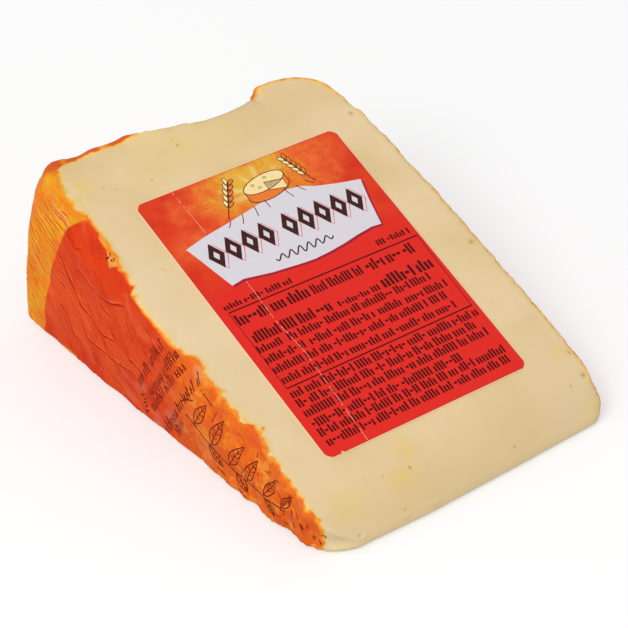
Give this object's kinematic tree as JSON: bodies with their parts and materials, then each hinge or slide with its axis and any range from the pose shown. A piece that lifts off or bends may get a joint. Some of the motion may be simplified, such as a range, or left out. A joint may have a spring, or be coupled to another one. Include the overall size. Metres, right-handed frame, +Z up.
{
  "type": "wedge of semi-soft cheese with a coloured rind",
  "caption": "Blunt-tipped wedge cut from a flat wheel of semi-soft cheese with an orange-red rind, lying on a cut face with a paper label on the other.",
  "frame": {"origin": "under the middle of the wedge, on the surface that it lies on", "axes": "+X from the blunt tip to the rim, +Y along the wheel's axis, +Z up"},
  "size_m": [0.0888, 0.0646, 0.0358],
  "materials": {
    "cheese": "pale cream paste with a slight fatty sheen; orange-red washed rind on the wheel's flat faces and rim",
    "label_paper": "coated red label paper, satin"
  },
  "bodies": {
    "root": {"cheese_wedge": "cheese", "label": "label_paper"}
  },
  "joints": []
}
